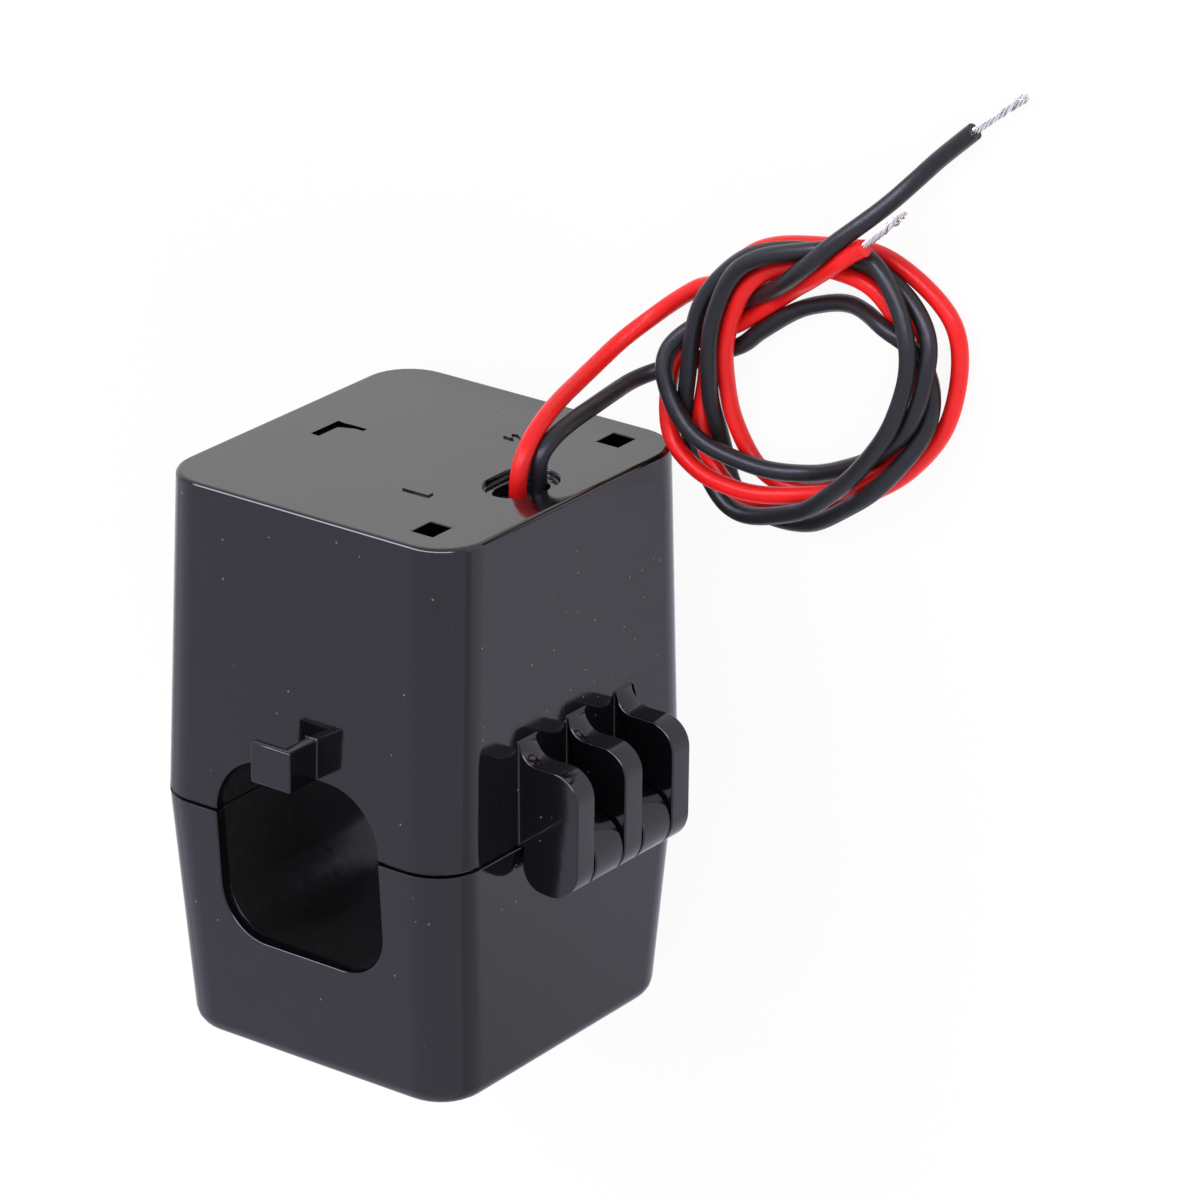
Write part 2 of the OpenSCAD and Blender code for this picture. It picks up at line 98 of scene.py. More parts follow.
def within(nt, value, middle, reach):
    """1 where a coordinate lies within reach of the middle, both in mm."""
    return maths(nt, "COMPARE", value, middle * MM, reach * MM)


def remap(nt, value, low, high, to_low, to_high):
    """value from low..high to to_low..to_high, kept within them."""
    m = nt.nodes.new("ShaderNodeMapRange")
    m.inputs["From Min"].default_value, m.inputs["From Max"].default_value = low, high
    m.inputs["To Min"].default_value, m.inputs["To Max"].default_value = to_low, to_high
    nt.links.new(value, m.inputs["Value"])
    return m.outputs["Result"]


def coordinates(nt, kind):
    """The three parts of one kind of texture coordinate, such as Object."""
    where = nt.nodes.new("ShaderNodeTexCoord")
    split = nt.nodes.new("ShaderNodeSeparateXYZ")
    nt.links.new(where.outputs[kind], split.inputs[0])
    return list(split.outputs)


def place_node(nt, stretch=(1, 1, 1)):
    """Position on the part, in millimetres, stretched along each axis."""
    where = nt.nodes.new("ShaderNodeTexCoord")
    scale = nt.nodes.new("ShaderNodeMapping")
    scale.inputs["Scale"].default_value = tuple(1000 * s for s in stretch)
    nt.links.new(where.outputs["Object"], scale.inputs["Vector"])
    return scale.outputs["Vector"]


def noise(nt, where, per_mm, detail=2.0, roughness=0.5):
    """A random pattern between 0 and 1, of a given fineness."""
    n = nt.nodes.new("ShaderNodeTexNoise")
    n.inputs["Scale"].default_value = per_mm
    n.inputs["Detail"].default_value = detail
    n.inputs["Roughness"].default_value = roughness
    nt.links.new(where, n.inputs["Vector"])
    return n.outputs["Fac"]


def blend(nt, factor, first, second):
    """The first colour, a tuple or a socket, where factor is 0, and the second where it is 1."""
    m = nt.nodes.new("ShaderNodeMix")
    m.data_type = "RGBA"
    if isinstance(first, tuple):
        m.inputs["A"].default_value = (*first, 1)
    else:
        nt.links.new(first, m.inputs["A"])
    m.inputs["B"].default_value = (*second, 1)
    nt.links.new(factor, m.inputs["Factor"])
    return m.outputs["Result"]


def mixed(nt, share, first, second):
    """The first shader where share is 0, and the second where it is 1."""
    mix = nt.nodes.new("ShaderNodeMixShader")
    for socket, value in zip(mix.inputs, (share, first, second)):
        nt.links.new(value, socket)
    return mix.outputs[0]


def bump(nt, bsdf, height, depth_mm, strength=1.0):
    """Relief of the given depth on a shader, from a height between 0 and 1."""
    b = nt.nodes.new("ShaderNodeBump")
    b.inputs["Strength"].default_value = strength
    b.inputs["Distance"].default_value = depth_mm * MM
    nt.links.new(height, b.inputs["Height"])
    nt.links.new(b.outputs["Normal"], bsdf.inputs["Normal"])
    return b


# ---------------------------------------------------------------- camera and light

VIEW_ANGLES = (36.072, 22.761, 0.612)  # degrees around the case, above its side, and of roll
VIEW_OFFSET = (489.06, 13.704, 13.423)  # mm back, right and up from the parting plane's middle
LENS = 184.8  # mm, on a 36 mm sensor

STRIP_STRENGTH, MIRRORED_STRENGTH, LIGHT_STRENGTH = 11.0, 0.84, 0.8
# Parts of a direction between which each side of the bright strip fades.
STRIP_NEAR, STRIP_FAR = (0.42, 0.5), (0.66, 0.74)
STRIP_LEFT, STRIP_LOW = (-0.7, -0.6), (0.3, 0.45)

TABLE_SIZE, TABLE_DROP = 6, 0.00005  # metres
TABLE_GREY = (0.86, 0.86, 0.86)
CAMERA_GLOW, MIRRORED_GLOW = 0.93, 0.8  # share of the table's own glow in what is seen of it
# Stretches of y, in metres, over which the mirrored table grows brighter, and its brightness at
# their ends; the second adds to the first.
BESIDE_CASE, BESIDE_GLOW = (-0.042, -0.012), (0.5, 0.88)
BEYOND_END, BEYOND_GLOW = (0.018, 0.026), (0, 0.35)


def parting_centre():
    """The middle of the parting plane, from the core that is centred on the case."""
    low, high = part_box("main_core")
    return Vector(((low.x + high.x) / 2, low.y - PARTING_GAP * MM / 2, (low.z + high.z) / 2))


def make_camera():
    """A long lens at the photograph's angle to the case, which stands on its lid end there."""
    around, above, roll = (math.radians(a) for a in VIEW_ANGLES)
    back = Vector((math.sin(around) * math.cos(above), math.sin(above), math.cos(around) * math.cos(above)))
    right = Vector((math.cos(around), 0, -math.sin(around)))
    up = back.cross(right)
    away, aside, higher = VIEW_OFFSET
    place = parting_centre() + (back * away + right * aside + up * higher) * MM
    cam_right = right * math.cos(roll) + up * math.sin(roll)
    cam_up = up * math.cos(roll) - right * math.sin(roll)
    data = bpy.data.cameras.new("view")
    data.lens, data.sensor_width = LENS, 36.0
    data.clip_start, data.clip_end = 0.01, 10
    cam = bpy.data.objects.new("view", data)
    bpy.context.scene.collection.objects.link(cam)
    turn = Matrix((cam_right, cam_up, back)).transposed()
    cam.matrix_world = Matrix.Translation(place) @ turn.to_4x4()
    bpy.context.scene.camera = cam


def make_lamp(name, place, size, power):
    """A square soft box that faces the case and isn't mirrored in it."""
    data = bpy.data.lights.new(name, "AREA")
    data.size, data.energy = size, power
    lamp = bpy.data.objects.new(name, data)
    lamp.visible_glossy = False
    bpy.context.scene.collection.objects.link(lamp)
    lamp.location = place
    lamp.rotation_euler = (-Vector(place)).to_track_quat("-Z", "Y").to_euler()


def strip_box(nt):
    """Extra brightness of the surround in a long strip over the lead end, for its edges to catch."""
    x, y, z = coordinates(nt, "Generated")
    near, far = remap(nt, y, *STRIP_NEAR, 0, 1), remap(nt, y, *STRIP_FAR, 1, 0)
    left, low = remap(nt, x, *STRIP_LEFT, 0, 1), remap(nt, z, *STRIP_LOW, 0, STRIP_STRENGTH)
    return product(nt, near, far, product(nt, left, low))


def background(nt, colour, strength):
    """One shade of the surround."""
    shade = nt.nodes.new("ShaderNodeBackground")
    shade.inputs["Color"].default_value = (*colour, 1)
    shade.inputs["Strength"].default_value = strength
    return shade


def make_world():
    """An even pale surround that gives the light, white to the camera. Only reflections show it
    violet and with a bright strip."""
    world = bpy.data.worlds.new("surround")
    bpy.context.scene.world = world
    world.use_nodes = True
    nt = world.node_tree
    nt.nodes.clear()
    out = nt.nodes.new("ShaderNodeOutputWorld")
    path = nt.nodes.new("ShaderNodeLightPath")
    light = background(nt, WHITE, LIGHT_STRENGTH)
    mirrored = background(nt, MIRRORED_SURROUND, 1)
    seen = background(nt, WHITE, 1)
    nt.links.new(maths(nt, "ADD", strip_box(nt), MIRRORED_STRENGTH), mirrored.inputs["Strength"])
    unseen = mixed(nt, path.outputs["Is Glossy Ray"], light.outputs[0], mirrored.outputs[0])
    surround = mixed(nt, path.outputs["Is Camera Ray"], unseen, seen.outputs[0])
    nt.links.new(surround, out.inputs["Surface"])


def table_glow(nt, path):
    """The table's glow: even and white to the camera. In reflections it is dimmer and violet beside
    the case, and bright and white beyond the lead end."""
    glow = nt.nodes.new("ShaderNodeEmission")
    glossy = path.outputs["Is Glossy Ray"]
    y = coordinates(nt, "Object")[1]
    tint = product(nt, glossy, remap(nt, y, *BEYOND_END, 1, 0))
    nt.links.new(blend(nt, tint, WHITE, MIRRORED_TABLE), glow.inputs["Color"])
    beside, beyond = remap(nt, y, *BESIDE_CASE, *BESIDE_GLOW), remap(nt, y, *BEYOND_END, *BEYOND_GLOW)
    change = maths(nt, "SUBTRACT", maths(nt, "ADD", beside, beyond), 1)
    nt.links.new(maths(nt, "ADD", product(nt, glossy, change), 1), glow.inputs["Strength"])
    return glow


def make_floor():
    """A wide plain table top that keeps a soft shadow and otherwise looks white."""
    bpy.ops.mesh.primitive_plane_add(size=TABLE_SIZE, location=(0, 0, -TABLE_DROP))
    floor = bpy.context.object
    floor.name = "table_top"
    mat = bpy.data.materials.new("pale_table")
    mat.use_nodes = True
    nt = mat.node_tree
    nt.nodes.clear()
    out = nt.nodes.new("ShaderNodeOutputMaterial")
    matte = nt.nodes.new("ShaderNodeBsdfDiffuse")
    matte.inputs["Color"].default_value = (*TABLE_GREY, 1)
    path = nt.nodes.new("ShaderNodeLightPath")
    glow = table_glow(nt, path)
    seen = product(nt, path.outputs["Is Camera Ray"], CAMERA_GLOW)
    share = maths(nt, "MAXIMUM", seen, product(nt, path.outputs["Is Glossy Ray"], MIRRORED_GLOW))
    nt.links.new(mixed(nt, share, matte.outputs[0], glow.outputs[0]), out.inputs["Surface"])
    floor.data.materials.append(mat)


# ---------------------------------------------------------------- leads

LEAD_D = 1.4  # outer diameter of a lead's insulation, mm
POINT_STEP = 0.75  # distance between two points of a lead, mm
COIL_CENTRE = (24.4, 31.1)
COIL_START = 150  # bearing of the coil's first waypoint, degrees

# Waypoints in mm: from the seal down to the table.
RED_FALL = [
    (7.9, SEAL_Y, 16.6), (7.9, EXIT_Y, 16.6), (7.9, 25.2, 16.2), (7.8, 26.6, 15.0),
    (7.6, 27.8, 12.9), (7.3, 28.6, 10.4), (7.1, 29.2, 7.9), (7.2, 30.1, 5.4),
    (7.8, 31.4, 3.2), (9.2, 33.0, 1.5), (11.2, 34.8, 0.75), (14.0, 36.7, 0.7),
]
BLACK_FALL = [
    (8.5, SEAL_Y, 14.8), (8.5, EXIT_Y, 14.8), (8.6, 25.4, 14.75), (8.75, 26.6, 13.3),
    (8.8, 27.3, 10.8), (8.7, 27.6, 8.1), (8.6, 27.9, 5.3), (8.8, 28.3, 2.9),
    (9.8, 28.8, 1.2), (12.0, 29.8, 0.7), (14.6, 31.1, 0.7), (17.6, 32.7, 0.7),
]
# For each twelfth of a turn, clockwise from the coil's start: distance from its middle in mm, and
# the layer that the lead lies in there. A line holds half a turn.
RED_COIL = [
    (11.3, 0), (10.9, 0), (11.0, 0), (13.0, 0), (14.6, 0), (12.5, 0),
    (10.3, 0), (9.2, 0), (9.9, 0), (12.2, 0.3), (11.3, 0.6), (9.3, 0.2),
    (9.5, 0.1), (9.7, 0.1), (9.8, 0.1), (11.0, 0), (11.4, 0), (9.7, 0),
    (8.8, 0), (8.7, 0.1), (9.7, 0.2), (9.7, 0.5), (8.5, 1), (7.7, 1),
    (8.0, 1), (9.1, 0.8), (10.1, 0.4), (11.6, 0.2), (10.9, 0.2), (10.2, 0.6),
    (9.0, 0.6), (8.5, 0.8), (9.0, 1.4), (11.0, 1.8), (13.6, 1.6), (12.1, 0.3),
    (7.9, 0.1), (7.1, 0.6),
]
BLACK_COIL = [
    (6.2, 0), (5.8, 0), (6.4, 0), (8.5, 0), (11.3, 0.5), (11.3, 0.9),
    (9.9, 1.0), (9.7, 0.8), (11.3, 0.3), (13.0, 0), (10.2, 0.9), (8.3, 1.3),
    (8.9, 1.2), (10.4, 1.5), (11.2, 1.5), (13.2, 1.4), (12.0, 1.6), (9.7, 1.5),
    (8.1, 1.7), (8.2, 1.6), (10.1, 1.1), (13.4, 0.3), (12.7, 0.8), (10.1, 1.2),
    (10.4, 0.9), (10.8, 0.7), (10.8, 0.7), (12.6, 0.6), (13.1, 0.7), (10.5, 0.8),
    (8.2, 0.6), (7.1, 0.9), (7.5, 1.1), (8.9, 1.7), (11.2, 2.2), (12.4, 0.5),
    (8.2, 0.1), (7.5, 0.8),
]
# Waypoints in mm: from the coil to the end of the insulation.
RED_TAIL = [
    (24.2, 39.8, 2.8), (27.3, 42.0, 3.5), (29.5, 43.5, 3.8), (30.8, 44.3, 3.9),
]
BLACK_TAIL = [
    (23.8, 39.9, 3.3), (26.3, 42.0, 4.0), (28.2, 43.8, 4.2), (30.0, 45.6, 3.9),
    (31.8, 47.5, 2.9), (33.2, 49.2, 1.8), (34.8, 51.0, 1.0), (38.2, 54.2, 0.7),
]
# The bared ends: how far they reach from the insulation in mm, the seed of their random draws,
# and how far the strands part.
RED_ENDS = {"reach": (3.4, 3.4, -0.6), "seed": 3, "flare": 0.25}
BLACK_ENDS = {"reach": (4.8, 3.9, -0.1), "seed": 5, "flare": 0.14}

STRAND_RADIUS = 0.09  # mm
STRAND_POINTS, STRAND_TWIST = 26, 2.2  # points along a strand, and turns of the bundle
STRAND_RINGS = ((4, 0.1, 1), (7, 0.22, 0.85))  # strands, radius of their ring in mm, share of the twist
STRAND_SHORTER, STRAND_SPREAD = 0.16, 0.2  # most that a strand is shorter, and that its ring grows
STRAND_LOWEST = 0.1  # height of a strand's middle on the table, mm
STRAND_INSIDE = 0.4  # start inside the insulation, as a share of the lead's last two steps

ROUNDS, SEARCH_EVERY = 700, 20  # of settling, and how often what lies close is searched for
JOINED, END_HELD = 6, 3  # points too near along one lead to touch, and held points at its end
CLEARANCE = 1.05  # distance between two leads that touch, in diameters
PUSH = (0.15, 0.15, 0.5)  # share of an overlap that a round takes away, along x, y and z
SINK = 0.01  # mm in a round
EASE_SHARE, EASE_PASSES = 0.4, 2  # evening out of the shifts along a lead
SIDEWAYS_KEPT = 0.97  # of a sideways shift, from round to round

UNMIRRORED_Y = (EXIT_Y - 0.05) * MM  # a lead below this y lies beside the case


def coil_points(steps):
    """The coil's waypoints in mm, one for every twelfth of a turn."""
    points = []
    for i, (radius, layer) in enumerate(steps):
        bearing = math.radians(COIL_START - 30 * i)
        x = COIL_CENTRE[0] + radius * math.cos(bearing)
        y = COIL_CENTRE[1] + radius * math.sin(bearing)
        points.append((x, y, LEAD_D / 2 + LEAD_D * layer))
    return points


def smooth_line(points):
    """Evenly spaced points on a smooth curve, a centripetal spline, through the waypoints."""
    p = np.array(points, float)
    p = np.vstack([2 * p[0] - p[1], p, 2 * p[-1] - p[-2]])
    fine = []
    for a, b, c, d in zip(p, p[1:], p[2:], p[3:]):
        t = np.linspace(0, 1, 24, endpoint=False)[:, None]
        ka, kb, kc = (max(math.sqrt(np.linalg.norm(v)), 1e-6) for v in (b - a, c - b, d - c))
        m1 = kb * ((b - a) / ka - (c - a) / (ka + kb) + (c - b) / kb)
        m2 = kb * ((c - b) / kb - (d - b) / (kb + kc) + (d - c) / kc)
        fine.append(
            (2 * t**3 - 3 * t**2 + 1) * b + (t**3 - 2 * t**2 + t) * m1
            + (3 * t**2 - 2 * t**3) * c + (t**3 - t**2) * m2
        )
    fine = np.vstack([*fine, p[-2:-1]])
    along = np.r_[0, np.cumsum(np.linalg.norm(np.diff(fine, axis=0), axis=1))]
    wanted = np.linspace(0, along[-1], max(2, round(along[-1] / POINT_STEP)) + 1)
    return np.column_stack([np.interp(wanted, along, fine[:, k]) for k in range(3)])


def length_of(points):
    """The length of the line through the points."""
    return float(np.linalg.norm(np.diff(points, axis=0), axis=1).sum())


def evened(values, inner, share, passes):
    """values with each inner one moved towards the mean of its neighbours."""
    values = values.copy()
    for _ in range(passes):
        values[inner] += share * ((values[inner - 1] + values[inner + 1]) / 2 - values[inner])
    return values


def settle(lines, held):
    """Lets the leads sink on the table and on each other, and lifts apart what touches. The first
    held points of each line stay in place."""
    here = np.vstack(lines)
    home = here.copy()
    orders = [np.arange(len(p)) for p in lines]
    owner = np.repeat(np.arange(len(lines)), [len(p) for p in lines])
    order = np.concatenate(orders)
    free = np.concatenate([(o >= h) & (o < len(o) - END_HELD) for o, h in zip(orders, held)])
    joined = (owner[:, None] == owner[None, :]) & (abs(order[:, None] - order[None, :]) < JOINED)
    inner = np.flatnonzero((owner[1:-1] == owner[:-2]) & (owner[1:-1] == owner[2:])) + 1
    apart = LEAD_D * CLEARANCE
    for turn in range(ROUNDS):
        if turn % SEARCH_EVERY == 0:
            gap = here[:, None, :] - here[None, :, :]
            first, second = np.nonzero(np.triu(((gap**2).sum(2) < (2 * LEAD_D) ** 2) & ~joined))
        gap = here[first] - here[second]
        dist = np.sqrt((gap**2).sum(1)) + 1e-9
        part = (np.maximum(apart - dist, 0) / dist)[:, None] * gap * PUSH
        push = np.zeros_like(here)
        np.add.at(push, first, part)
        np.add.at(push, second, -part)
        push[:, 2] -= SINK
        drift = evened(here - home + push, inner, EASE_SHARE, EASE_PASSES)
        drift[:, :2] *= SIDEWAYS_KEPT
        here[free] = (home + drift)[free]
        here[free, 2] = np.maximum(here[free, 2], LEAD_D / 2)
    ends = np.cumsum([len(p) for p in lines])[:-1]
    return np.split(here, ends)


def curve_data(name, radius, rings, material):
    """An empty round curve; radius in mm."""
    data = bpy.data.curves.new(name, "CURVE")
    data.dimensions = "3D"
    data.bevel_depth, data.bevel_resolution, data.use_fill_caps = radius * MM, rings, True
    data.materials.append(material)
    return data


def add_spline(data, points, resolution):
    """One open spline through points in mm."""
    line = data.splines.new("NURBS")
    line.points.add(len(points) - 1)
    for spot, p in zip(line.points, points):
        spot.co = (*(p * MM), 1)
    line.order_u, line.resolution_u, line.use_endpoint_u = 4, resolution, True


def lead_curve(name, points, material):
    """A round lead along the points, as one open spline."""
    data = curve_data(name, LEAD_D / 2, 3, material)
    add_spline(data, points, 3)
    lead = bpy.data.objects.new(name, data)
    bpy.context.scene.collection.objects.link(lead)
    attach(lead, "main_half")
    return lead


def strand_bundle(name, lead_points, material, reach, seed, flare):
    """Tinned strands twisted together, a little loose towards their cut ends."""
    last, before = lead_points[-1], lead_points[-3]
    start, end = Vector(last - (last - before) * STRAND_INSIDE), Vector(last + np.array(reach))
    axis = (end - start).normalized()
    side = axis.cross(Vector((0, 0, 1))).normalized()
    lift = side.cross(axis)
    data = curve_data(name, STRAND_RADIUS, 1, material)
    rng = np.random.default_rng(seed)
    for ring, phase, wound in ((r, k / n, share) for n, r, share in STRAND_RINGS for k in range(n)):
        short = 1 - STRAND_SHORTER * rng.random()
        wander = rng.uniform(-1, 1, 2) * flare
        points = []
        for i in range(STRAND_POINTS):
            t = i / (STRAND_POINTS - 1) * short
            turn = 2 * math.pi * phase + 2 * math.pi * STRAND_TWIST * t * wound
            r = ring * (1 + STRAND_SPREAD * t * t)
            across, higher = r * math.cos(turn) + wander[0] * t**2, r * math.sin(turn) + wander[1] * t**2
            p = start + (end - start) * t + (side * across + lift * higher)
            p.z = max(p.z, STRAND_LOWEST)
            points.append(p)
        add_spline(data, points, 2)
    piece = bpy.data.objects.new(name, data)
    bpy.context.scene.collection.objects.link(piece)
    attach(piece, "main_half")
    return piece


def make_leads(red_mat, black_mat, tin_mat):
    """Both leads, settled on the table, with their bared ends."""
    lines = [
        smooth_line(RED_FALL + coil_points(RED_COIL) + RED_TAIL),
        smooth_line(BLACK_FALL + coil_points(BLACK_COIL) + BLACK_TAIL),
    ]
    held = [round(length_of(smooth_line(f[:-2])) / POINT_STEP) for f in (RED_FALL, BLACK_FALL)]
    red, black = settle(lines, held)
    red_lead = lead_curve("red_wire", red, red_mat)
    black_lead = lead_curve("black_wire", black, black_mat)
    red_ends = strand_bundle("red_wire_strands", red, tin_mat, **RED_ENDS)
    black_ends = strand_bundle("black_wire_strands", black, tin_mat, **BLACK_ENDS)
    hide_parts("red_lead", "lead_coil", "red_tail")
    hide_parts("black_lead", "black_tail")
    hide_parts("red_strands")
    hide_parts("black_strands")
    for lead, fall, points, ends in (
        (red_lead, RED_FALL, red, red_ends),
        (black_lead, BLACK_FALL, black, black_ends),
    ):
        print(lead.name, "length", round(length_of(points), 1), "mm")


# ---------------------------------------------------------------- materials


def new_material(name, base, roughness, metallic=0.0, ior=1.5):
    """A material with its constants on the shader, and the parts of its node tree."""
    mat = bpy.data.materials.new(name)
    mat.use_nodes = True
    nt = mat.node_tree
    bsdf = nt.nodes["Principled BSDF"]
    bsdf.inputs["Base Color"].default_value = (*base, 1)
    bsdf.inputs["Roughness"].default_value = roughness
    bsdf.inputs["Metallic"].default_value = metallic
    bsdf.inputs["IOR"].default_value = ior
    return mat, nt, bsdf


def specks(nt, where, per_mm, size, share):
    """Small scattered dust specks: 1 on a speck, 0 off it."""
    cells = nt.nodes.new("ShaderNodeTexVoronoi")
    cells.inputs["Scale"].default_value = per_mm
    nt.links.new(where, cells.inputs["Vector"])
    split = nt.nodes.new("ShaderNodeSeparateColor")
    nt.links.new(cells.outputs["Color"], split.inputs["Color"])
    dot = remap(nt, cells.outputs["Distance"], size * 0.6, size, 1, 0)
    chosen = remap(nt, split.outputs["Red"], share, share + 0.02, 1, 0)
    return product(nt, dot, chosen)


def gate_shade_masks(nt):
    """The gate pocket's walls, painted dark as shade, with a painted shadow at the foot of the lower one; and the
    pocket's rest.
    """
    x, y, z = coordinates(nt, "Object")
    nx, ny, nz = coordinates(nt, "Normal")
    shallow = maths(nt, "GREATER_THAN", y, (EXIT_Y - GATE_MASK_DEPTH) * MM)
    box = product(nt, within(nt, x, GATE_X, GATE_MASK[0]), within(nt, z, MID_Z, GATE_MASK[1]), shallow)
    steep = maths(nt, "GREATER_THAN", maths(nt, "MAXIMUM", nx, nz), STEEP)
    shaded_wall = product(nt, steep, maths(nt, "LESS_THAN", ny, FLAT))
    slant = maths(nt, "LESS_THAN", maths(nt, "SUBTRACT", z, product(nt, x, SHADOW_FOOT_SLOPE)), SHADOW_FOOT_START * MM)
    lower = maths(nt, "GREATER_THAN", z, (MID_Z - GATE_HALF[1]) * MM)
    # A strip at the foot of the lower wall, painted dark as a shadow.
    painted_foot_shadow = product(nt, slant, lower, within(nt, x, GATE_X, GATE_HALF[0]))
    # The walls and that strip are painted dark as shade.
    shaded_wall = product(nt, maths(nt, "MAXIMUM", shaded_wall, painted_foot_shadow), box)
    return shaded_wall, maths(nt, "SUBTRACT", box, shaded_wall)


def pit_painted_shade(nt):
    """1 inside the two square pits of the lead end, which are left rough from the mould and painted near black as
    shade.
    """
    x, y, z = coordinates(nt, "Object")
    deep = product(nt, remap(nt, y, *PIT_FLOOR, 0, 1), remap(nt, y, *PIT_RIM, 1, 0))
    from_middle = maths(nt, "ABSOLUTE", maths(nt, "SUBTRACT", z, MID_Z * MM))
    across, along = within(nt, x, PIT_X, PIT_REACH[0]), within(nt, from_middle, PIT_SIDE, PIT_REACH[1])
    return product(nt, deep, product(nt, across, along))


def levelled(nt, pocket):
    """The surface's own normal, but straight out of the lead end in its gate pocket."""
    own = nt.nodes.new("ShaderNodeNewGeometry")
    level = nt.nodes.new("ShaderNodeMix")
    level.data_type = "VECTOR"
    level.inputs["B"].default_value = (0, 1, 0)
    nt.links.new(pocket, level.inputs["Factor"])
    nt.links.new(own.outputs["Normal"], level.inputs["A"])
    return level.outputs["Result"]


def case_plastic():
    """Glossy black moulded plastic with a slight ripple and a little pale dust. The pits and the
    walls of the gate pocket are made rough and painted near black as shade."""
    mat, nt, bsdf = new_material("glossy_black_plastic", (0.012, 0.012, 0.014), 0.08, ior=1.53)
    where = place_node(nt)
    dust = specks(nt, where, per_mm=0.9, size=0.09, share=0.16)
    wall_shade, pocket = gate_shade_masks(nt)
    dull_and_shaded = maths(nt, "MAXIMUM", pit_painted_shade(nt), wall_shade)
    base = blend(nt, noise(nt, where, 0.35, detail=3), (0.003, 0.0029, 0.0041), (0.0055, 0.0053, 0.0072))
    dusty = blend(nt, dust, base, (0.16, 0.16, 0.15))
    # Painted shade: the pits and the gate pocket's walls are painted near black.
    nt.links.new(blend(nt, dull_and_shaded, dusty, (0.001, 0.001, 0.001)), bsdf.inputs["Base Color"])
    rough = remap(nt, noise(nt, where, 0.8, detail=4, roughness=0.6), 0.3, 0.75, 0.05, 0.13)
    rough = maths(nt, "MAXIMUM", rough, remap(nt, dust, 0, 1, 0, 0.6))
    nt.links.new(maths(nt, "MAXIMUM", rough, dull_and_shaded), bsdf.inputs["Roughness"])
    nt.links.new(product(nt, maths(nt, "SUBTRACT", 1, dull_and_shaded), 0.5), bsdf.inputs["Specular IOR Level"])
    ripple = bump(nt, bsdf, noise(nt, where, 0.55), 0.03, 0.35)
    nt.links.new(levelled(nt, pocket), ripple.inputs["Normal"])
    return mat


def mottled(name, light, dark, roughness, per_mm, depth, metallic=0.0, stretch=(1, 1, 1)):
    """A plain finish with fine mottling and a matching fine relief."""
    mat, nt, bsdf = new_material(name, light, roughness, metallic)
    where = place_node(nt, stretch)
    grain = noise(nt, where, per_mm, detail=4, roughness=0.6)
    nt.links.new(blend(nt, grain, dark, light), bsdf.inputs["Base Color"])
    nt.links.new(remap(nt, grain, 0.3, 0.7, roughness * 0.8, roughness * 1.25), bsdf.inputs["Roughness"])
    bump(nt, bsdf, grain, depth)
    return mat


def banded(name, light, dark, roughness, per_mm, depth, axis, metallic):
    """A surface of fine parallel layers or turns across one axis."""
    mat, nt, bsdf = new_material(name, light, roughness, metallic)
    where = place_node(nt)
    bands = nt.nodes.new("ShaderNodeTexWave")
    bands.bands_direction = axis
    bands.inputs["Scale"].default_value = per_mm / 2
    bands.inputs["Distortion"].default_value = 0.3
    bands.inputs["Detail"].default_value = 1.0
    nt.links.new(where, bands.inputs["Vector"])
    nt.links.new(blend(nt, bands.outputs["Fac"], dark, light), bsdf.inputs["Base Color"])
    nt.links.new(remap(nt, bands.outputs["Fac"], 0, 1, roughness * 1.3, roughness * 0.8), bsdf.inputs["Roughness"])
    bump(nt, bsdf, bands.outputs["Fac"], depth)
    return mat


def insulation(name, light, dark, ior):
    """Satin plastic lead insulation with a faint drawn texture. As in the photo, what lies beside
    the case isn't mirrored in its side."""
    mat, nt, bsdf = new_material(name, light, 0.3, ior=ior)
    where = place_node(nt)
    grain = noise(nt, where, 1.6, detail=4, roughness=0.6)
    nt.links.new(blend(nt, grain, dark, light), bsdf.inputs["Base Color"])
    nt.links.new(remap(nt, grain, 0.3, 0.7, 0.3, 0.44), bsdf.inputs["Roughness"])
    bump(nt, bsdf, noise(nt, where, 4.0, detail=3), 0.012)
    path, clear = (nt.nodes.new("ShaderNode" + n) for n in ("LightPath", "BsdfTransparent"))
    beside = maths(nt, "LESS_THAN", coordinates(nt, "Object")[1], UNMIRRORED_Y)
    unmirrored = product(nt, beside, path.outputs["Is Glossy Ray"])
    surface = bsdf.outputs[0].links[0].to_socket
    nt.links.new(mixed(nt, unmirrored, bsdf.outputs[0], clear.outputs[0]), surface)
    return mat


# ---------------------------------------------------------------- the case

DIGIT = {"size": 3.1, "extrude": 0.09, "bevel_depth": 0.03, "offset": 0.16}  # mm
DIGIT_LIFT = 0.03  # middle of a digit's thickness over the lead end's face, mm


def raised_digit(text, x, z, mat):
    """A small moulded digit on the lead end, turned a quarter as in the photo."""
    data = bpy.data.curves.new("digit_" + text, "FONT")
    data.body = text
    for part, size in DIGIT.items():
        setattr(data, part, size * MM)
    data.bevel_resolution = 1
    data.align_x, data.align_y = "CENTER", "CENTER"
    digit = bpy.data.objects.new("digit_" + text, data)
    bpy.context.scene.collection.objects.link(digit)
    place = Matrix.Translation((x * MM, (EXIT_Y + DIGIT_LIFT) * MM, z * MM))
    sideways, upright = Matrix.Rotation(math.radians(90), 4, "Y"), Matrix.Rotation(math.radians(-90), 4, "X")
    digit.matrix_world = place @ sideways @ upright
    data.materials.append(mat)
    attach(digit, "main_half")


def dress(nodes, mat):
    """Gives CAD nodes a finish."""
    for n in nodes:
        slots = NODES[n].material_slots
        if not slots:
            NODES[n].data.materials.append(mat)
        for s in slots:
            s.material = mat


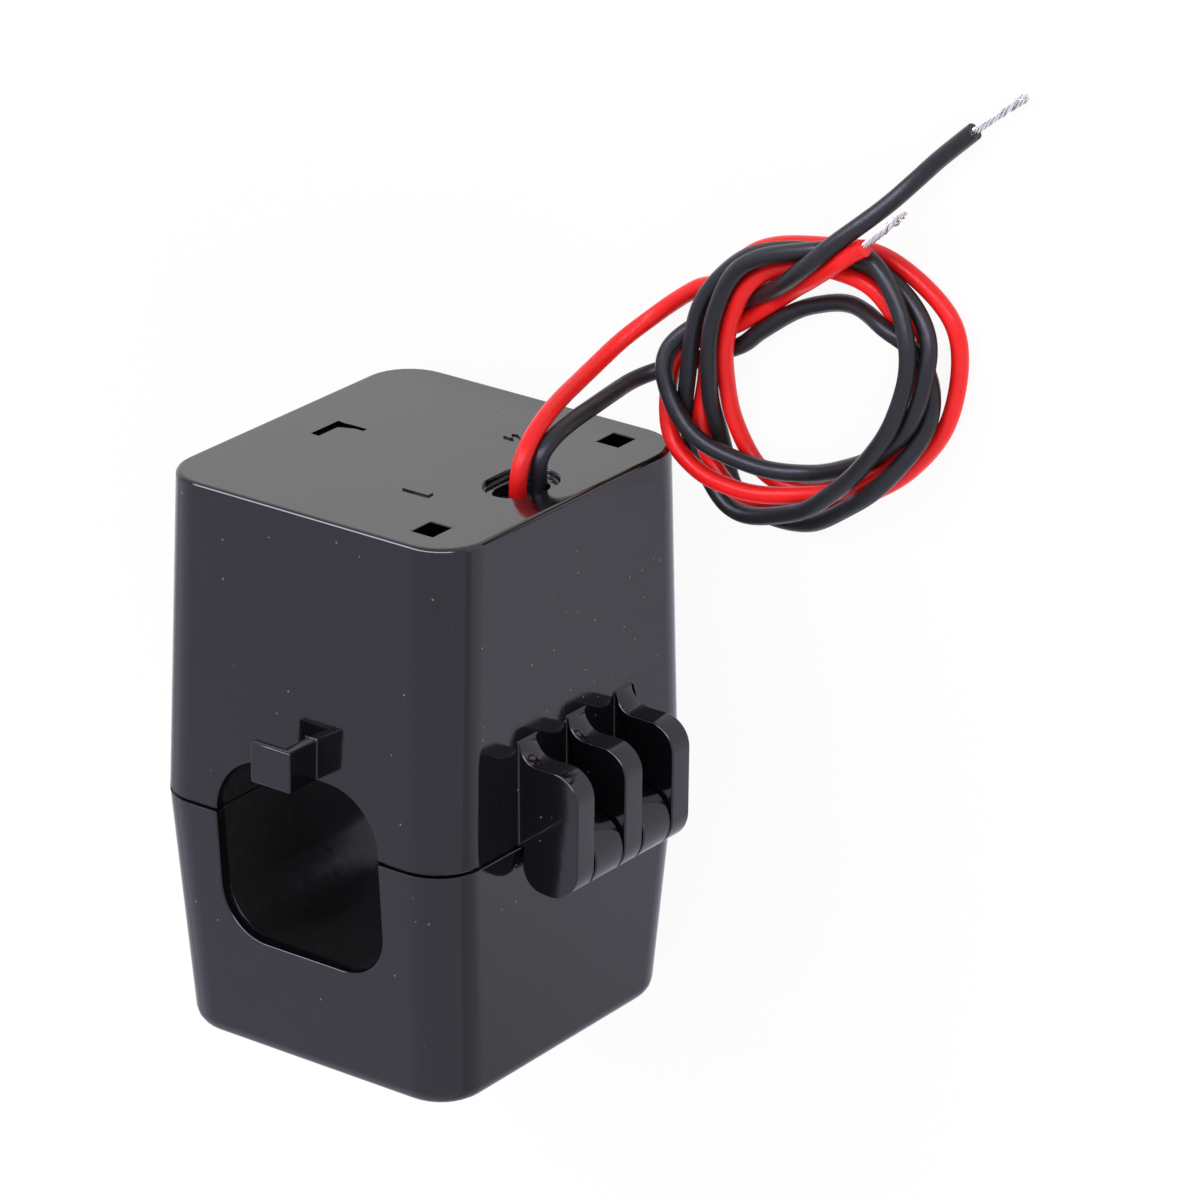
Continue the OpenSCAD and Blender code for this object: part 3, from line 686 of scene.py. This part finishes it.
def soften_edges(node):
    """Small moulding radii on a CAD node's sharp edges."""
    o = NODES[node]
    weld = o.modifiers.new("join", "WELD")
    weld.merge_threshold = WELD_GAP * MM
    flat = o.modifiers.new("merge_flats", "DECIMATE")
    flat.decimate_type, flat.angle_limit = "DISSOLVE", math.radians(0.4)
    edge = o.modifiers.new("mould_radius", "BEVEL")
    edge.width, edge.segments, edge.limit_method = MOULD_RADIUS * MM, 2, "ANGLE"
    edge.angle_limit, edge.use_clamp_overlap = math.radians(35), False
    o.modifiers.new("even_shading", "WEIGHTED_NORMAL")
    for face in o.data.polygons:
        face.use_smooth = True


# ---------------------------------------------------------------- the scene


make_camera()
red_mat = insulation("red_lead_plastic", (0.9, 0.012, 0.012), (0.78, 0.008, 0.008), 1.4)
black_mat = insulation("black_lead_plastic", (0.019, 0.019, 0.023), (0.012, 0.012, 0.016), 1.38)
tin_mat = mottled("tinned_copper", (0.92, 0.91, 0.89), (0.8, 0.79, 0.77), 0.34, 6.0, 0.01, metallic=1.0)
make_leads(red_mat, black_mat, tin_mat)

plastic = case_plastic()
dress(["main_housing", "lid_housing"], plastic)
dress(
    ["main_inner_cover", "lid_inner_cover"],
    mottled("inner_cover_plastic", (0.02, 0.02, 0.022), (0.012, 0.012, 0.013), 0.22, 1.2, 0.01),
)
dress(
    ["main_core", "lid_core"],
    banded("layered_core_steel", (0.5, 0.5, 0.5), (0.2, 0.2, 0.2), 0.32, 4.0, 0.02, "X", metallic=1.0),
)
dress(
    ["lid_spring", "hinge_pin"],
    mottled("bright_spring_steel", (0.6, 0.6, 0.6), (0.45, 0.45, 0.46), 0.25, 3.0, 0.005, metallic=1.0,
            stretch=(1, 0.1, 1)),
)
dress(
    ["bobbin_upper", "bobbin_lower"],
    mottled("bobbin_nylon", (0.75, 0.73, 0.66), (0.66, 0.64, 0.57), 0.45, 1.5, 0.01),
)
dress(
    ["secondary_winding"],
    banded("enamelled_copper", (0.62, 0.22, 0.07), (0.25, 0.07, 0.02), 0.3, 5.0, 0.05, "Y", metallic=0.8),
)
dress(["winding_tape"], mottled("yellow_film_tape", (0.82, 0.55, 0.05), (0.7, 0.44, 0.03), 0.3, 2.0, 0.01))
dress(["lead_seal"], mottled("black_potting", (0.014, 0.014, 0.015), (0.008, 0.008, 0.009), 0.3, 1.2, 0.05))
dress(["red_splice"], red_mat)
dress(["black_splice"], black_mat)
for name in ("main_housing", "lid_housing"):
    soften_edges(name)
raised_digit("1", 3.1, 22.8, plastic)
raised_digit("2", 2.3, 8.8, plastic)

make_world()
make_lamp("key_soft_box", (-0.55, 0.5, 0.9), size=0.7, power=6)
make_lamp("fill_soft_box", (0.8, -0.3, 0.6), size=0.6, power=2.5)
make_floor()
scene = bpy.context.scene
scene.view_settings.view_transform = "Standard"
